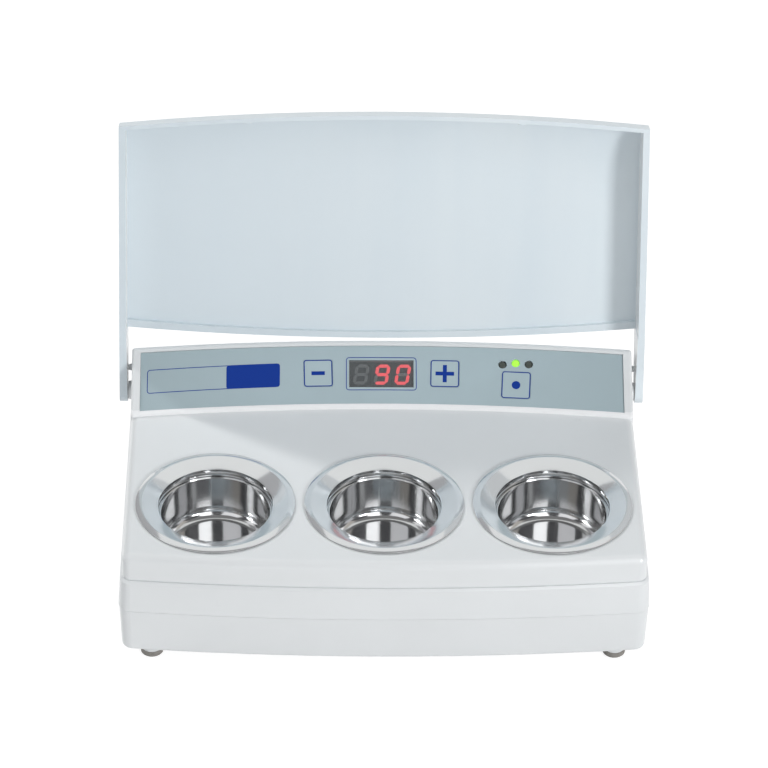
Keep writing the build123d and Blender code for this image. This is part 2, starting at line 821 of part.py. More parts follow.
# ---------------------------------------------------------------- heat shield
with BuildPart() as heat_shield:
    with BuildSketch(Plane.YZ.offset(-shield_width / 2)):
        with BuildLine():
            Polyline(
                (shield_front_y, shield_z),
                (shield_rear_y, shield_z),
                (shield_rear_y, shield_z + shield_lip),
                (shield_rear_y - shield_thickness, shield_z + shield_lip),
                (shield_rear_y - shield_thickness, shield_z + shield_thickness),
                (shield_front_y + shield_thickness, shield_z + shield_thickness),
                (shield_front_y + shield_thickness, shield_z + shield_lip),
                (shield_front_y, shield_z + shield_lip),
                close=True,
            )
        make_face()
    extrude(amount=shield_width)
    with BuildSketch(Plane.XY.offset(shield_z)):
        with Locations(*shield_post_places):
            Circle(screw_radius + screw_fit)
    extrude(amount=shield_thickness, mode=Mode.SUBTRACT)
heat_shield.part.label = "heat_shield"
export_step(heat_shield.part, "parts/heat_shield.step")

# ---------------------------------------------------------------- hood and hinge
# The hood is drawn closed, its bowed front turned about the front axis, and then swung open.
hood_reach = front_radius + hood_front_gap + hood_front_wall
hood_rear_y = back_axis_y + slope_point(-front_rim_width, rim_height)[0] - hood_rear_gap
hood_front_y = front_axis_y - hood_reach
hood_upright_z = hood_rim_z + hood_front_upright
hood_back_y = pivot_y + arm_end_radius
hood_swing = Axis((0, pivot_y, pivot_z), (1, 0, 0))


def hood_section(inset, low, top, thinning):
    """Section of the hood's front: an upright wall, an elliptical round and the flat top."""
    reach = hood_reach - inset
    flat_reach = hood_reach - hood_round_length
    with BuildSketch(front_section) as section:
        with BuildLine():
            Line((reach, low), (reach - thinning, hood_upright_z))
            EllipticalCenterArc(
                (flat_reach, hood_upright_z), reach - thinning - flat_reach, top - hood_upright_z,
                arc_size=90,
            )
            Polyline((flat_reach, top), (flat_reach - beyond, top), (flat_reach - beyond, low), (reach, low))
        make_face()
    return section.sketch


def hood_half(y):
    """Half the hood's width at this y: its cheeks come in towards the front."""
    return hood_half_width - hood_taper * (hood_back_y - y) / (hood_back_y - hood_front_y)


def hood_plan(side_inset, rear_inset):
    """Plan of the hood's flat part, this far inside its cheeks and its bowed rear edge."""
    rear = hood_rear_y - rear_inset
    front = hood_front_y - hood_front_gap
    half = hood_half(rear - hood_rear_bow) - side_inset
    half_front = hood_half(front) - side_inset
    with BuildSketch() as plan:
        with BuildLine():
            ThreePointArc((half, rear - hood_rear_bow), (0, rear), (-half, rear - hood_rear_bow))
            Polyline(
                (-half, rear - hood_rear_bow), (-half_front, front), (half_front, front),
                (half, rear - hood_rear_bow),
            )
        make_face()
    return plan.sketch


hood_outer_section = hood_section(0, hood_rim_z, hood_top_z, hood_front_lean)
hood_inner_section = hood_section(hood_front_wall, hood_rim_z - wall, hood_top_z - hood_thickness, 0)
hood_outer_plan = hood_plan(-cheek_thickness, 0)
hood_inner_plan = hood_plan(cheek_thickness, hood_rear_rib)
under_rib_plan = hood_plan(cheek_thickness, -hood_rear_rib)
hood_end_y = hood_rear_y - hood_rear_bow

with BuildPart() as hood_space:
    add(hood_inner_section)
    revolve(axis=front_axis, revolution_arc=sweep_angle)
    with BuildSketch(Plane.XY):
        add(hood_inner_plan)
    extrude(amount=beyond, mode=Mode.INTERSECT)

with BuildPart() as closed_hood:
    add(hood_outer_section)
    revolve(axis=front_axis, revolution_arc=sweep_angle)
    with BuildSketch(Plane.XY):
        add(hood_outer_plan)
    extrude(amount=beyond, mode=Mode.INTERSECT)
    add(hood_space.part, mode=Mode.SUBTRACT)
    # Open the rear below the rib.
    with BuildSketch(Plane.XY.offset(hood_rim_z - wall)):
        add(under_rib_plan)
        with Locations((0, hood_end_y - hood_round_length)):
            Rectangle(2 * beyond, beyond, align=(Align.CENTER, Align.MAX), mode=Mode.SUBTRACT)
    extrude(amount=hood_top_z - hood_thickness - hood_rear_rib_drop - hood_rim_z + wall, mode=Mode.SUBTRACT)
    # Arms that carry the hood back to its pivots.
    for side in (-1, 1):
        with BuildSketch(side_plane(side, hood_half_width - arm_thickness)):
            with BuildLine():
                Polyline(
                    (side * (hood_end_y - 1), hood_rim_z),
                    (side * (hood_end_y + 4), hood_rim_z),
                    (side * (hood_end_y + 4), hood_top_z),
                    (side * (hood_end_y - 1), hood_top_z),
                    close=True,
                )
                CenterArc((side * pivot_y, pivot_z), arm_end_radius, 0, 360)
            make_hull()
        extrude(amount=arm_thickness + cheek_thickness)
    # Trim the cheeks and the arms to the hood's outline.
    with BuildSketch(Plane.XY):
        with BuildLine():
            Polyline(
                (hood_half(hood_front_y - beyond), hood_front_y - beyond),
                (hood_half(hood_back_y), hood_back_y),
                (-hood_half(hood_back_y), hood_back_y),
                (-hood_half(hood_front_y - beyond), hood_front_y - beyond),
                close=True,
            )
        make_face()
    extrude(amount=beyond, mode=Mode.INTERSECT)
    # Catch nubs behind the front wall.
    for side in (-1, 1):
        inner_reach = hood_reach - hood_front_wall
        catch_y = front_axis_y - (inner_reach**2 - catch_spread**2) ** 0.5
        with BuildSketch(Plane.XZ.offset(-(catch_y + catch_height))):
            with Locations((side * catch_spread, hood_rim_z + catch_radius + catch_height)):
                Circle(catch_radius)
        extrude(amount=catch_height + hood_front_wall / 2)
    # Bores for the hinge pins, with sunk seats for their heads.
    for side in (-1, 1):
        with BuildSketch(side_plane(side, body_half_width)):
            with Locations((side * pivot_y, pivot_z)):
                Circle(pin_radius + pin_fit)
        extrude(amount=beyond, mode=Mode.SUBTRACT)
        with BuildSketch(side_plane(side, hood_half_width - pin_head_thickness - pin_head_sunk)):
            with Locations((side * pivot_y, pivot_z)):
                Circle(pin_head_radius + pin_head_gap)
        extrude(amount=beyond, mode=Mode.SUBTRACT)

with BuildPart() as hood:
    add(closed_hood.part.rotate(hood_swing, -open_angle))
hood.part.label = "hood"
export_step(hood.part, "parts/hood.step")

pin_inner_x = pivot_inside_x - clip_thickness - 1.5 * clip_thickness
for side, side_name in ((-1, "left"), (1, "right")):
    with BuildPart() as hinge_pin:
        head_x = hood_half_width - pin_head_thickness - pin_head_sunk
        with BuildSketch(side_plane(side, head_x)):
            with Locations((side * pivot_y, pivot_z)):
                Circle(pin_head_radius)
        extrude(amount=pin_head_thickness)
        with BuildSketch(side_plane(side, head_x)):
            with Locations((side * pivot_y, pivot_z)):
                Circle(pin_radius)
        extrude(amount=pin_inner_x - head_x)
        chamfer(hinge_pin.edges().sort_by(Axis.X)[0 if side > 0 else -1], clip_thickness / 2)
    hinge_pin.part.label = f"hinge_pin_{side_name}"
    export_step(hinge_pin.part, f"parts/hinge_pin_{side_name}.step")

with BuildPart() as hinge_clips:
    for side in (-1, 1):
        with BuildSketch(side_plane(side, pivot_inside_x - fit_gap)):
            with Locations((side * pivot_y, pivot_z)):
                Circle(clip_radius)
                Circle(pin_radius + screw_fit, mode=Mode.SUBTRACT)
            with Locations((side * pivot_y, pivot_z - clip_radius)):
                Rectangle(pin_radius, 2 * clip_radius, mode=Mode.SUBTRACT)
        extrude(amount=-clip_thickness)
hinge_clips.part.label = "hinge_clips"
export_step(hinge_clips.part, "parts/hinge_clips.step")

# ---------------------------------------------------------------- panel
with BuildPart() as control_foil:
    add(panel_strip(0, foil_length, foil_half_width, -foil_thickness, 0))
    for frame in key_frames.values():
        with BuildSketch(frame.offset(wall)):
            RectangleRounded(key_size + 2 * key_gap, key_size + 2 * key_gap, key_corner + key_gap)
        extrude(amount=-2 * wall, mode=Mode.SUBTRACT)
    for frame in lamp_frames.values():
        with BuildSketch(frame.offset(wall)):
            Circle(lamp_radius + lamp_clearance)
        extrude(amount=-2 * wall, mode=Mode.SUBTRACT)
    with BuildSketch(display_frame.offset(wall)):
        Rectangle(window_width + 2 * fit_gap, window_height + 2 * fit_gap)
    extrude(amount=-2 * wall, mode=Mode.SUBTRACT)
control_foil.part.label = "control_foil"
export_step(control_foil.part, "parts/control_foil.step")

with BuildPart() as display_window:
    with BuildSketch(display_frame.offset(-window_sunk)):
        Rectangle(window_width, window_height)
    extrude(amount=-window_thickness)
display_window.part.label = "display_window"
export_step(display_window.part, "parts/display_window.step")

for name, frame in key_frames.items():
    with BuildPart() as key:
        with BuildSketch(frame):
            RectangleRounded(key_size, key_size, key_corner)
        extrude(amount=-key_thickness)
        with BuildSketch(frame.offset(-key_thickness)):
            Circle(stem_radius)
        extrude(amount=-stem_length)
    key.part.label = name
    export_step(key.part, f"parts/{name}.step")

for name, frame in lamp_frames.items():
    board_distance = -control_board_frame.to_local_coords(frame.origin).Z
    with BuildPart() as lamp:
        with BuildSketch(frame.offset(-lamp_shoulder)):
            Circle(lamp_radius)
        extrude(amount=lamp_shoulder - lamp_sunk)
        fillet(lamp.edges().sort_by(Axis(frame.origin, frame.z_dir))[-1], lamp_radius / 2)
        with BuildSketch(frame.offset(-lamp_shoulder)):
            Circle(lamp_leg_radius)
        extrude(amount=board_distance + lamp_shoulder + lamp_clearance)
    lamp.part.label = name
    export_step(lamp.part, f"parts/{name}.step")

# Seven segments a digit: a top, b and c right, d bottom, e and f left, g middle.
lit_segments = ("", "abcdfg", "abcdef")
module_seat = control_board_frame.to_local_coords(display_frame.origin)
module_top = module_seat.Z - foil_thickness - display_gap - segment_thickness - fit_gap
with BuildPart() as display_module:
    with BuildSketch(control_board_frame):
        with Locations((module_seat.X, module_seat.Y)):
            with GridLocations(digit_pitch, 1, len(lit_segments), 1):
                Rectangle(digit_pitch - digit_block_gap, window_height - 2 * window_seat - display_gap)
    extrude(amount=module_top)
display_module.part.label = "display_module"
export_step(display_module.part, "parts/display_module.step")


def draw_segments(wanted_lit):
    """Segments that glow, or those that are dark, over the three digits."""
    across = (digit_width - segment_width) / 2
    up = (digit_height - segment_width) / 2
    half = segment_width / 2
    bar_tip = across - segment_gap
    post_tip = up - segment_gap
    bar = [
        (-bar_tip, 0), (half - bar_tip, half), (bar_tip - half, half),
        (bar_tip, 0), (bar_tip - half, -half), (half - bar_tip, -half),
    ]
    post = [
        (0, segment_gap), (half, segment_gap + half), (half, post_tip - half),
        (0, post_tip), (-half, post_tip - half), (-half, segment_gap + half),
    ]
    outlines = {
        "a": (bar, 0, up),
        "b": (post, across, 0),
        "c": (post, across, -up),
        "d": (bar, 0, -up),
        "e": (post, -across, -up),
        "f": (post, -across, 0),
        "g": (bar, 0, 0),
    }
    slant = tan(radians(digit_slant))
    for digit, lit in enumerate(lit_segments):
        middle = (digit - 1) * digit_pitch + digit_shift
        for name, (outline, x, y) in outlines.items():
            if (name in lit) == wanted_lit:
                Polygon(*((middle + x + u + slant * (y + v), y + v) for u, v in outline), align=None)


for name, wanted_lit in (("display_segments_lit", True), ("display_segments_dark", False)):
    with BuildPart() as segments:
        with BuildSketch(display_frame.offset(-foil_thickness - display_gap - segment_thickness)):
            draw_segments(wanted_lit)
        extrude(amount=segment_thickness)
    segments.part.label = name
    export_step(segments.part, f"parts/{name}.step")

with BuildPart() as control_board:
    with BuildSketch(control_board_frame):
        with Locations((control_board_across, 0)):
            Rectangle(control_board_width, control_board_length)
        with Locations(*control_screw_places):
            Circle(screw_radius + screw_fit, mode=Mode.SUBTRACT)
    extrude(amount=-board_thickness)
control_board.part.label = "control_board"
export_step(control_board.part, "parts/control_board.step")

with BuildPart() as key_switches:
    for frame in key_frames.values():
        seat = control_board_frame.to_local_coords(frame.origin)
        with BuildSketch(control_board_frame):
            with Locations((seat.X, seat.Y)):
                Rectangle(switch_size, switch_size)
        extrude(amount=switch_body_height)
        with BuildSketch(control_board_frame):
            with Locations((seat.X, seat.Y)):
                Circle(plunger_radius)
        extrude(amount=seat.Z - key_thickness - stem_length - key_travel - plunger_gap)
key_switches.part.label = "key_switches"
export_step(key_switches.part, "parts/key_switches.step")

# ---------------------------------------------------------------- power board
board_top_z = power_board_z + board_thickness
with BuildPart() as power_board:
    with BuildSketch(Plane.XY.offset(power_board_z)):
        with Locations((power_board_x, power_board_y)):
            Rectangle(power_board_width, power_board_length)
        with Locations(*power_board_places):
            Circle(screw_radius + screw_fit, mode=Mode.SUBTRACT)
    extrude(amount=board_thickness)
power_board.part.label = "power_board"
export_step(power_board.part, "parts/power_board.step")

with BuildPart() as transformer:
    core_x, core_y, core_z = transformer_core
    with BuildSketch(Plane.XY.offset(board_top_z)):
        with Locations((transformer_x, transformer_y)):
            Rectangle(core_x, core_y)
    extrude(amount=core_z)
    with BuildSketch(Plane.XY.offset(board_top_z + bobbin_bulge / 2)):
        with Locations((transformer_x, transformer_y)):
            RectangleRounded(bobbin_width, core_y + 2 * bobbin_bulge, bobbin_bulge)
    extrude(amount=core_z - bobbin_bulge)
transformer.part.label = "transformer"
export_step(transformer.part, "parts/transformer.step")

with BuildPart() as heat_sink:
    with BuildSketch(Plane.XY.offset(board_top_z)):
        with Locations((sink_x, sink_y)):
            Rectangle(sink_size[0], sink_size[1])
    extrude(amount=sink_size[2])
heat_sink.part.label = "heat_sink"
export_step(heat_sink.part, "parts/heat_sink.step")

with BuildPart() as triacs:
    with BuildSketch(Plane.XY.offset(board_top_z)):
        with Locations((sink_x, sink_y - sink_size[1] / 2 - triac_size[1] / 2)):
            with GridLocations(triac_pitch, 1, len(well_places), 1):
                Rectangle(triac_size[0], triac_size[1])
    extrude(amount=triac_size[2])
triacs.part.label = "triacs"
export_step(triacs.part, "parts/triacs.step")

with BuildPart() as board_fuse:
    with BuildSketch(Plane.XY.offset(board_top_z)):
        with Locations((fuse_x, fuse_y)):
            Rectangle(fuse_base[0], fuse_base[1])
    extrude(amount=fuse_base[2])
    with BuildSketch(Plane.YZ.offset(fuse_x - fuse_length / 2)):
        with Locations((fuse_y, board_top_z + fuse_base[2])):
            Circle(fuse_radius)
    extrude(amount=fuse_length)
board_fuse.part.label = "board_fuse"
export_step(board_fuse.part, "parts/board_fuse.step")

with BuildPart() as board_screws:
    add(screws(
        Plane.XY.offset(board_top_z).rotated((180, 0, 0)), [(x, -y) for x, y in power_board_places],
        screw_head_radius, screw_head_height, screw_radius, screw_length,
    ))
    add(screws(
        Plane.XY.offset(shield_z + shield_thickness).rotated((180, 0, 0)),
        [(x, -y) for x, y in shield_post_places],
        screw_head_radius, screw_head_height, screw_radius, screw_length,
    ))
    add(screws(
        control_board_frame.offset(-board_thickness), control_screw_places,
        screw_head_radius, screw_head_height, screw_radius, screw_length,
    ))
board_screws.part.label = "board_screws"
export_step(board_screws.part, "parts/board_screws.step")

# ---------------------------------------------------------------- wiring
def lead(points):
    """Round lead along this path, its corners rounded."""
    with BuildPart() as cable:
        with BuildLine() as path:
            FilletPolyline(*points, radius=lead_bend)
        with BuildSketch(Plane(origin=path.line @ 0, z_dir=path.line % 0)):
            Circle(lead_radius)
        sweep()
    return cable.part


with BuildPart() as heater_leads:
    start_y = well_y + cup_radius + fit_gap + heater_thickness / 2 + terminal_size[1]
    terminal_z = heater_z + heater_height / 2
    for number, place in enumerate(well_places):
        level = board_top_z + lead_radius + (len(well_places) - 1 - number) * lead_pitch
        end_x = lead_end_x + number * lead_pitch
        add(lead([
            (place[0], start_y, terminal_z),
            (place[0], lead_run_y, terminal_z),
            (place[0], lead_run_y, level),
            (end_x, lead_run_y, level),
            (end_x, power_board_y - power_board_length / 2 + board_edge, level),
        ]))
heater_leads.part.label = "heater_leads"
export_step(heater_leads.part, "parts/heater_leads.step")

with BuildPart() as mains_leads:
    for number in range(2):
        level = board_top_z + lead_radius + number * lead_pitch
        start_x = inlet_x - blade_spread + 2 * number * blade_spread
        add(lead([
            (start_x, port_y - inlet_body[2], level),
            (start_x, mains_run_y - number * lead_pitch, level),
            (power_board_x + power_board_width / 2 - board_edge, mains_run_y - number * lead_pitch, level),
        ]))
mains_leads.part.label = "mains_leads"
export_step(mains_leads.part, "parts/mains_leads.step")

with BuildPart() as ribbon_cable:
    top = control_board_frame.from_local_coords((0, -ribbon_set_in, -board_thickness - ribbon_thickness / 2))
    with BuildSketch(Plane.YZ.offset(ribbon_x - ribbon_width / 2)):
        with BuildLine():
            FilletPolyline(
                (top.Y, top.Z),
                (top.Y, top.Z - 2 * lead_bend),
                (ribbon_y, top.Z - 2 * lead_bend),
                (ribbon_y, board_top_z),
                radius=lead_bend,
            )
        trace(line_width=ribbon_thickness)
    extrude(amount=ribbon_width)
    with BuildSketch(Plane.XY.offset(board_top_z)):
        with Locations((ribbon_x, ribbon_y)):
            Rectangle(ribbon_width + 4 * ribbon_thickness, 4 * ribbon_thickness)
    extrude(amount=ribbon_plug_height)
ribbon_cable.part.label = "ribbon_cable"
export_step(ribbon_cable.part, "parts/ribbon_cable.step")

# ---------------------------------------------------------------- mains inlet and switch
with BuildPart() as mains_inlet:
    with BuildSketch(Plane.XZ.offset(-port_y)):
        with Locations((inlet_x, port_z)):
            RectangleRounded(inlet_flange[0], inlet_flange[1], inlet_corner)
    extrude(amount=-inlet_flange[2])
    with BuildSketch(Plane.XZ.offset(-port_y)):
        with Locations((inlet_x, port_z)):
            Rectangle(inlet_body[0], inlet_body[1])
    extrude(amount=inlet_body[2])
    # Socket with its two upper corners cut off.
    with BuildSketch(Plane.XZ.offset(-port_y - inlet_flange[2])):
        with Locations((inlet_x, port_z)):
            socket = Rectangle(inlet_cavity[0], inlet_cavity[1])
        chamfer(socket.vertices().group_by(Axis.Y)[-1], inlet_cavity[1] / 4)
    extrude(amount=inlet_cavity[2], mode=Mode.SUBTRACT)
mains_inlet.part.label = "mains_inlet"
export_step(mains_inlet.part, "parts/mains_inlet.step")

with BuildPart() as inlet_blades:
    with BuildSketch(Plane.XZ.offset(-port_y - inlet_flange[2] + inlet_cavity[2])):
        with Locations(
            (inlet_x - blade_spread, port_z - blade_drop),
            (inlet_x, port_z + blade_drop),
            (inlet_x + blade_spread, port_z - blade_drop),
        ):
            Rectangle(blade[1], blade[0])
    extrude(amount=-inlet_cavity[2] + inlet_flange[2])
inlet_blades.part.label = "inlet_blades"
export_step(inlet_blades.part, "parts/inlet_blades.step")

rocker_axis_y = port_y + switch_flange[2] - rocker_pivot_depth
with BuildPart() as power_switch:
    with BuildSketch(Plane.XZ.offset(-port_y)):
        with Locations((switch_x, port_z)):
            RectangleRounded(switch_flange[0], switch_flange[1], inlet_corner / 2)
    extrude(amount=-switch_flange[2])
    with BuildSketch(Plane.XZ.offset(-port_y)):
        with Locations((switch_x, port_z)):
            Rectangle(switch_body[0], switch_body[1])
    extrude(amount=switch_body[2])
    with BuildSketch(Plane.XZ.offset(-port_y - switch_flange[2])):
        with Locations((switch_x, port_z)):
            Rectangle(rocker_window[0], rocker_window[1])
    extrude(amount=rocker_well_depth, mode=Mode.SUBTRACT)
    with BuildSketch(Plane.YZ.offset(switch_x)):
        with Locations((rocker_axis_y, port_z)):
            Circle(trunnion_radius + pin_fit)
    extrude(amount=rocker_window[0] / 2 + trunnion_depth, both=True, mode=Mode.SUBTRACT)
power_switch.part.label = "power_switch"
export_step(power_switch.part, "parts/power_switch.step")

# The rocker is drawn level and then tipped into its "on" position.
rocker_turn = Axis((switch_x, rocker_axis_y, port_z), (1, 0, 0))
rocker_half = rocker_window[1] / 2 - 2 * rocker_gap
with BuildPart() as level_rocker:
    with BuildSketch(Plane.YZ.offset(switch_x - rocker_window[0] / 2 + rocker_gap)):
        with BuildLine():
            rocker_face = ThreePointArc(
                (rocker_axis_y + rocker_proud, port_z - rocker_half),
                (rocker_axis_y + rocker_proud - rocker_hollow, port_z),
                (rocker_axis_y + rocker_proud, port_z + rocker_half),
            )
            Polyline(
                rocker_face @ 1,
                (rocker_axis_y, port_z + rocker_half),
                (rocker_axis_y - rocker_keel, port_z),
                (rocker_axis_y, port_z - rocker_half),
                rocker_face @ 0,
            )
        make_face()
    extrude(amount=rocker_window[0] - 2 * rocker_gap)
    ends = level_rocker.edges().filter_by(Axis.X).group_by(Axis.Y)[-1]
    fillet(ends, rocker_gap)
    with BuildSketch(Plane.YZ.offset(switch_x)):
        with Locations((rocker_axis_y, port_z)):
            Circle(trunnion_radius)
    extrude(amount=rocker_window[0] / 2 + trunnion_depth - fit_gap, both=True)

with BuildPart() as power_switch_rocker:
    add(level_rocker.part.rotate(rocker_turn, rocker_swing / 2))
power_switch_rocker.part.label = "power_switch_rocker"
export_step(power_switch_rocker.part, "parts/power_switch_rocker.step")
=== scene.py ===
import math

import bmesh
import bpy
from mathutils import Matrix, Vector


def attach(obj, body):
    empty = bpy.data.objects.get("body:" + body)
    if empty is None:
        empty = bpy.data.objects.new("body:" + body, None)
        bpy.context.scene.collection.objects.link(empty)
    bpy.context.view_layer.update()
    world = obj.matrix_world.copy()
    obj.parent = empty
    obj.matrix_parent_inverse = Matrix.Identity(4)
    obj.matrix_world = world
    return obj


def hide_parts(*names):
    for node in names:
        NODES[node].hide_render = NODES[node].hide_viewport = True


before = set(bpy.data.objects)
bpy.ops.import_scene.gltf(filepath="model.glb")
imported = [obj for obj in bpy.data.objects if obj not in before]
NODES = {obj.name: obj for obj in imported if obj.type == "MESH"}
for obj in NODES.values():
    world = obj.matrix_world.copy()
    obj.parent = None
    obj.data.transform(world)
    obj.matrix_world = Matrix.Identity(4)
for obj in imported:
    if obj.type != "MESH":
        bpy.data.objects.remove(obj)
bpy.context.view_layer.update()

MM = 0.001
WELLS = {"left": -85.0, "middle": 0.0, "right": 85.0}
WELL_Y = -50.0

# ------------------------------------------------------------------ shader maths


class Signal:
    """What one socket of a finish gives, ready for arithmetic."""

    def __init__(self, finish, socket):
        self.finish = finish
        self.socket = socket

    def math(self, operation, first, second=0.0):
        return self.finish.node("Math", {"operation": operation}, {0: first, 1: second})

    def __add__(self, other):
        return self.math("ADD", self, other)

    __radd__ = __add__

    def __sub__(self, other):
        return self.math("SUBTRACT", self, other)

    def __rsub__(self, other):
        return self.math("SUBTRACT", other, self)

    def __mul__(self, other):
        return self.math("MULTIPLY", self, other)

    __rmul__ = __mul__

    def __pow__(self, other):
        return self.math("POWER", self, other)

    def __gt__(self, other):
        return self.math("GREATER_THAN", self, other)

    def __lt__(self, other):
        return self.math("LESS_THAN", self, other)

    def least(self, other):
        return self.math("MINIMUM", self, other)

    def most(self, other):
        return self.math("MAXIMUM", self, other)

    def size(self):
        return self.math("ABSOLUTE", self)


class Finish:
    """A material in the making: its shader, and the nodes that feed it."""

    def __init__(self, name, **sockets):
        self.material = bpy.data.materials.new(name)
        self.material.use_nodes = True
        self.tree = self.material.node_tree
        self.tree.nodes.clear()
        self.out = self.tree.nodes.new("ShaderNodeOutputMaterial")
        self.shader = self.tree.nodes.new("ShaderNodeBsdfPrincipled")
        self.tree.links.new(self.shader.outputs[0], self.out.inputs["Surface"])
        self.feed(**sockets)

    def feed(self, **sockets):
        """Sets or links the shader's sockets: base_color stands for Base Color."""
        for name, value in sockets.items():
            words = [word.upper() if word == "ior" else word.capitalize() for word in name.split("_")]
            self.plug(self.shader.inputs[" ".join(words)], value)

    def plug(self, socket, value):
        if isinstance(value, Signal):
            self.tree.links.new(value.socket, socket)
        elif socket.type == "RGBA" and len(value) == 3:
            socket.default_value = (*value, 1.0)
        else:
            socket.default_value = value

    def node(self, kind, settings=None, inputs=None, output=0):
        made = self.tree.nodes.new("ShaderNode" + kind)
        for name, value in (settings or {}).items():
            if name == "stops":
                self.set_stops(made.color_ramp, value)
            else:
                setattr(made, name, value)
        for name, value in (inputs or {}).items():
            self.plug(made.inputs[name], value)
        return Signal(self, made.outputs[output])

    @staticmethod
    def set_stops(ramp, stops):
        while len(ramp.elements) < len(stops):
            ramp.elements.new(1.0)
        for element, (place, level) in zip(ramp.elements, stops):
            element.position = place
            element.color = (level, level, level, 1.0)

    def place(self):
        return self.node("TexCoord", output="Object")

    def axis(self, name):
        return self.node("SeparateXYZ", {}, {0: self.place()}, output=name)

    def stretched(self, x, y, z):
        return self.node("Mapping", {}, {"Vector": self.place(), "Scale": (x, y, z)})

    def noise(self, scale, detail=3.0, rough=0.55, at=None):
        return self.node("TexNoise", {}, {"Vector": at or self.place(), "Scale": scale,
                                          "Detail": detail, "Roughness": rough})

    def steps(self, value, *stops):
        return self.node("ValToRGB", {"stops": stops}, {0: value})

    def blend(self, mask, first, second):
        return self.node("Mix", {"data_type": "RGBA"}, {0: mask, 6: first, 7: second}, output=2)

    def bumps(self, height, distance, strength=1.0):
        return self.node("Bump", {}, {"Height": height, "Distance": distance, "Strength": strength})

    def scratches(self, x, y, z, share):
        """Sparse thin lines: where finely stretched noise runs high."""
        lines = self.noise(1.0, 2.0, 0.5, self.stretched(x, y, z))
        return self.steps(lines, (share, 0.0), (share + 0.05, 1.0))

    def distance_from(self, x, y):
        """How far a point lies from the upright line through (x, y), in metres."""
        across = self.axis("X") - x * MM
        along = self.axis("Y") - y * MM
        return (across * across + along * along) ** 0.5


def srgb(red, green, blue):
    """Linear colour of these 0 to 255 screen values."""
    return tuple(((v / 255 + 0.055) / 1.055) ** 2.4 if v > 10 else v / 3294.6 for v in (red, green, blue))


# ------------------------------------------------------------------ finishes


def moulded(name, colour, rough, grain=0.00002, grain_scale=2600.0, sheen_coat=0.0, worn=0.03, **more):
    """Injection-moulded plastic: fine spark-eroded grain, faint flow marks and handling polish."""
    made = Finish(name, ior=1.5, coat_weight=sheen_coat, **more)
    grain_field = made.noise(grain_scale, 2.0, 0.6)
    broad = made.noise(14.0, 3.0, 0.6)
    cloud = made.noise(55.0, 4.0, 0.6)
    darker = tuple(c * (1.0 - worn) for c in colour)
    made.feed(
        base_color=made.blend(made.steps(broad, (0.35, 0.0), (0.7, 1.0)), colour, darker),
        roughness=rough + 0.10 * (cloud - 0.5) + 0.05 * (grain_field - 0.5),
        normal=made.bumps(grain_field + 0.6 * cloud, grain),
    )
    return made


SHELL_WHITE = srgb(236, 238, 239)


def white_shell():
    """White moulding; the narrow lip in front of the film is painted whiter, a painted highlight."""
    made = moulded("white_shell", SHELL_WHITE, 0.30, sheen_coat=0.25, coat_roughness=0.15)
    height = made.axis("Z")
    # Painted highlight: the lip between these heights is painted near-white, as if lit more strongly.
    lip_highlight_mask = (height > 67.15 * MM) * (height < 69.95 * MM) * (made.axis("Y") < 40.0 * MM)
    plain = made.shader.inputs["Base Color"].links[0].from_socket
    made.feed(base_color=made.blend(lip_highlight_mask, Signal(made, plain), srgb(251, 251, 252)))
    return made.material


def turned_metal(name, centres, colour, rough, pitch, depth):
    """Lathe-turned satin aluminium: circular tool marks about the nearest of these centres."""
    made = Finish(name, specular_ior_level=0.3)
    radius = made.distance_from(*centres[0])
    for centre in centres[1:]:
        radius = radius.least(made.distance_from(*centre))
    marks = made.node("TexNoise", {"noise_dimensions": "1D"},
                      {"W": radius, "Scale": 1.0 / (pitch * MM), "Detail": 2.0, "Roughness": 0.7})
    fine = made.node("TexNoise", {"noise_dimensions": "1D"},
                     {"W": radius, "Scale": 4.2 / (pitch * MM), "Detail": 1.0, "Roughness": 0.5})
    smudge = made.noise(60.0, 4.0, 0.65)
    dim = tuple(c * 0.86 for c in colour)
    mouth = radius < 29.3 * MM
    made.feed(
        metallic=0.76 + 0.24 * mouth,
        base_color=made.blend(marks * 0.5 + smudge * 0.4, colour, dim),
        roughness=rough + 0.06 * (marks - 0.5) + 0.06 * (smudge - 0.5),
        normal=made.bumps(marks + 0.5 * fine, depth),
    )
    return made.material


def polished_pot():
    """Spun and polished steel: bright, with faint rings and fine vertical draw marks."""
    made = Finish("polished_pot", metallic=1.0)
    rings = made.noise(1.0, 3.0, 0.6, made.stretched(6.0, 6.0, 2400.0))
    handled = made.noise(120.0, 5.0, 0.65)
    hairlines = made.scratches(900.0, 900.0, 14.0, 0.66)
    made.feed(
        base_color=made.blend(handled, (0.66, 0.665, 0.67), (0.59, 0.595, 0.60)),
        roughness=0.085 + 0.07 * (handled - 0.4).most(0.0) + 0.05 * rings + 0.12 * hairlines,
        normal=made.bumps(0.6 * rings + 0.3 * handled, 0.00001),
    )
    return made.material


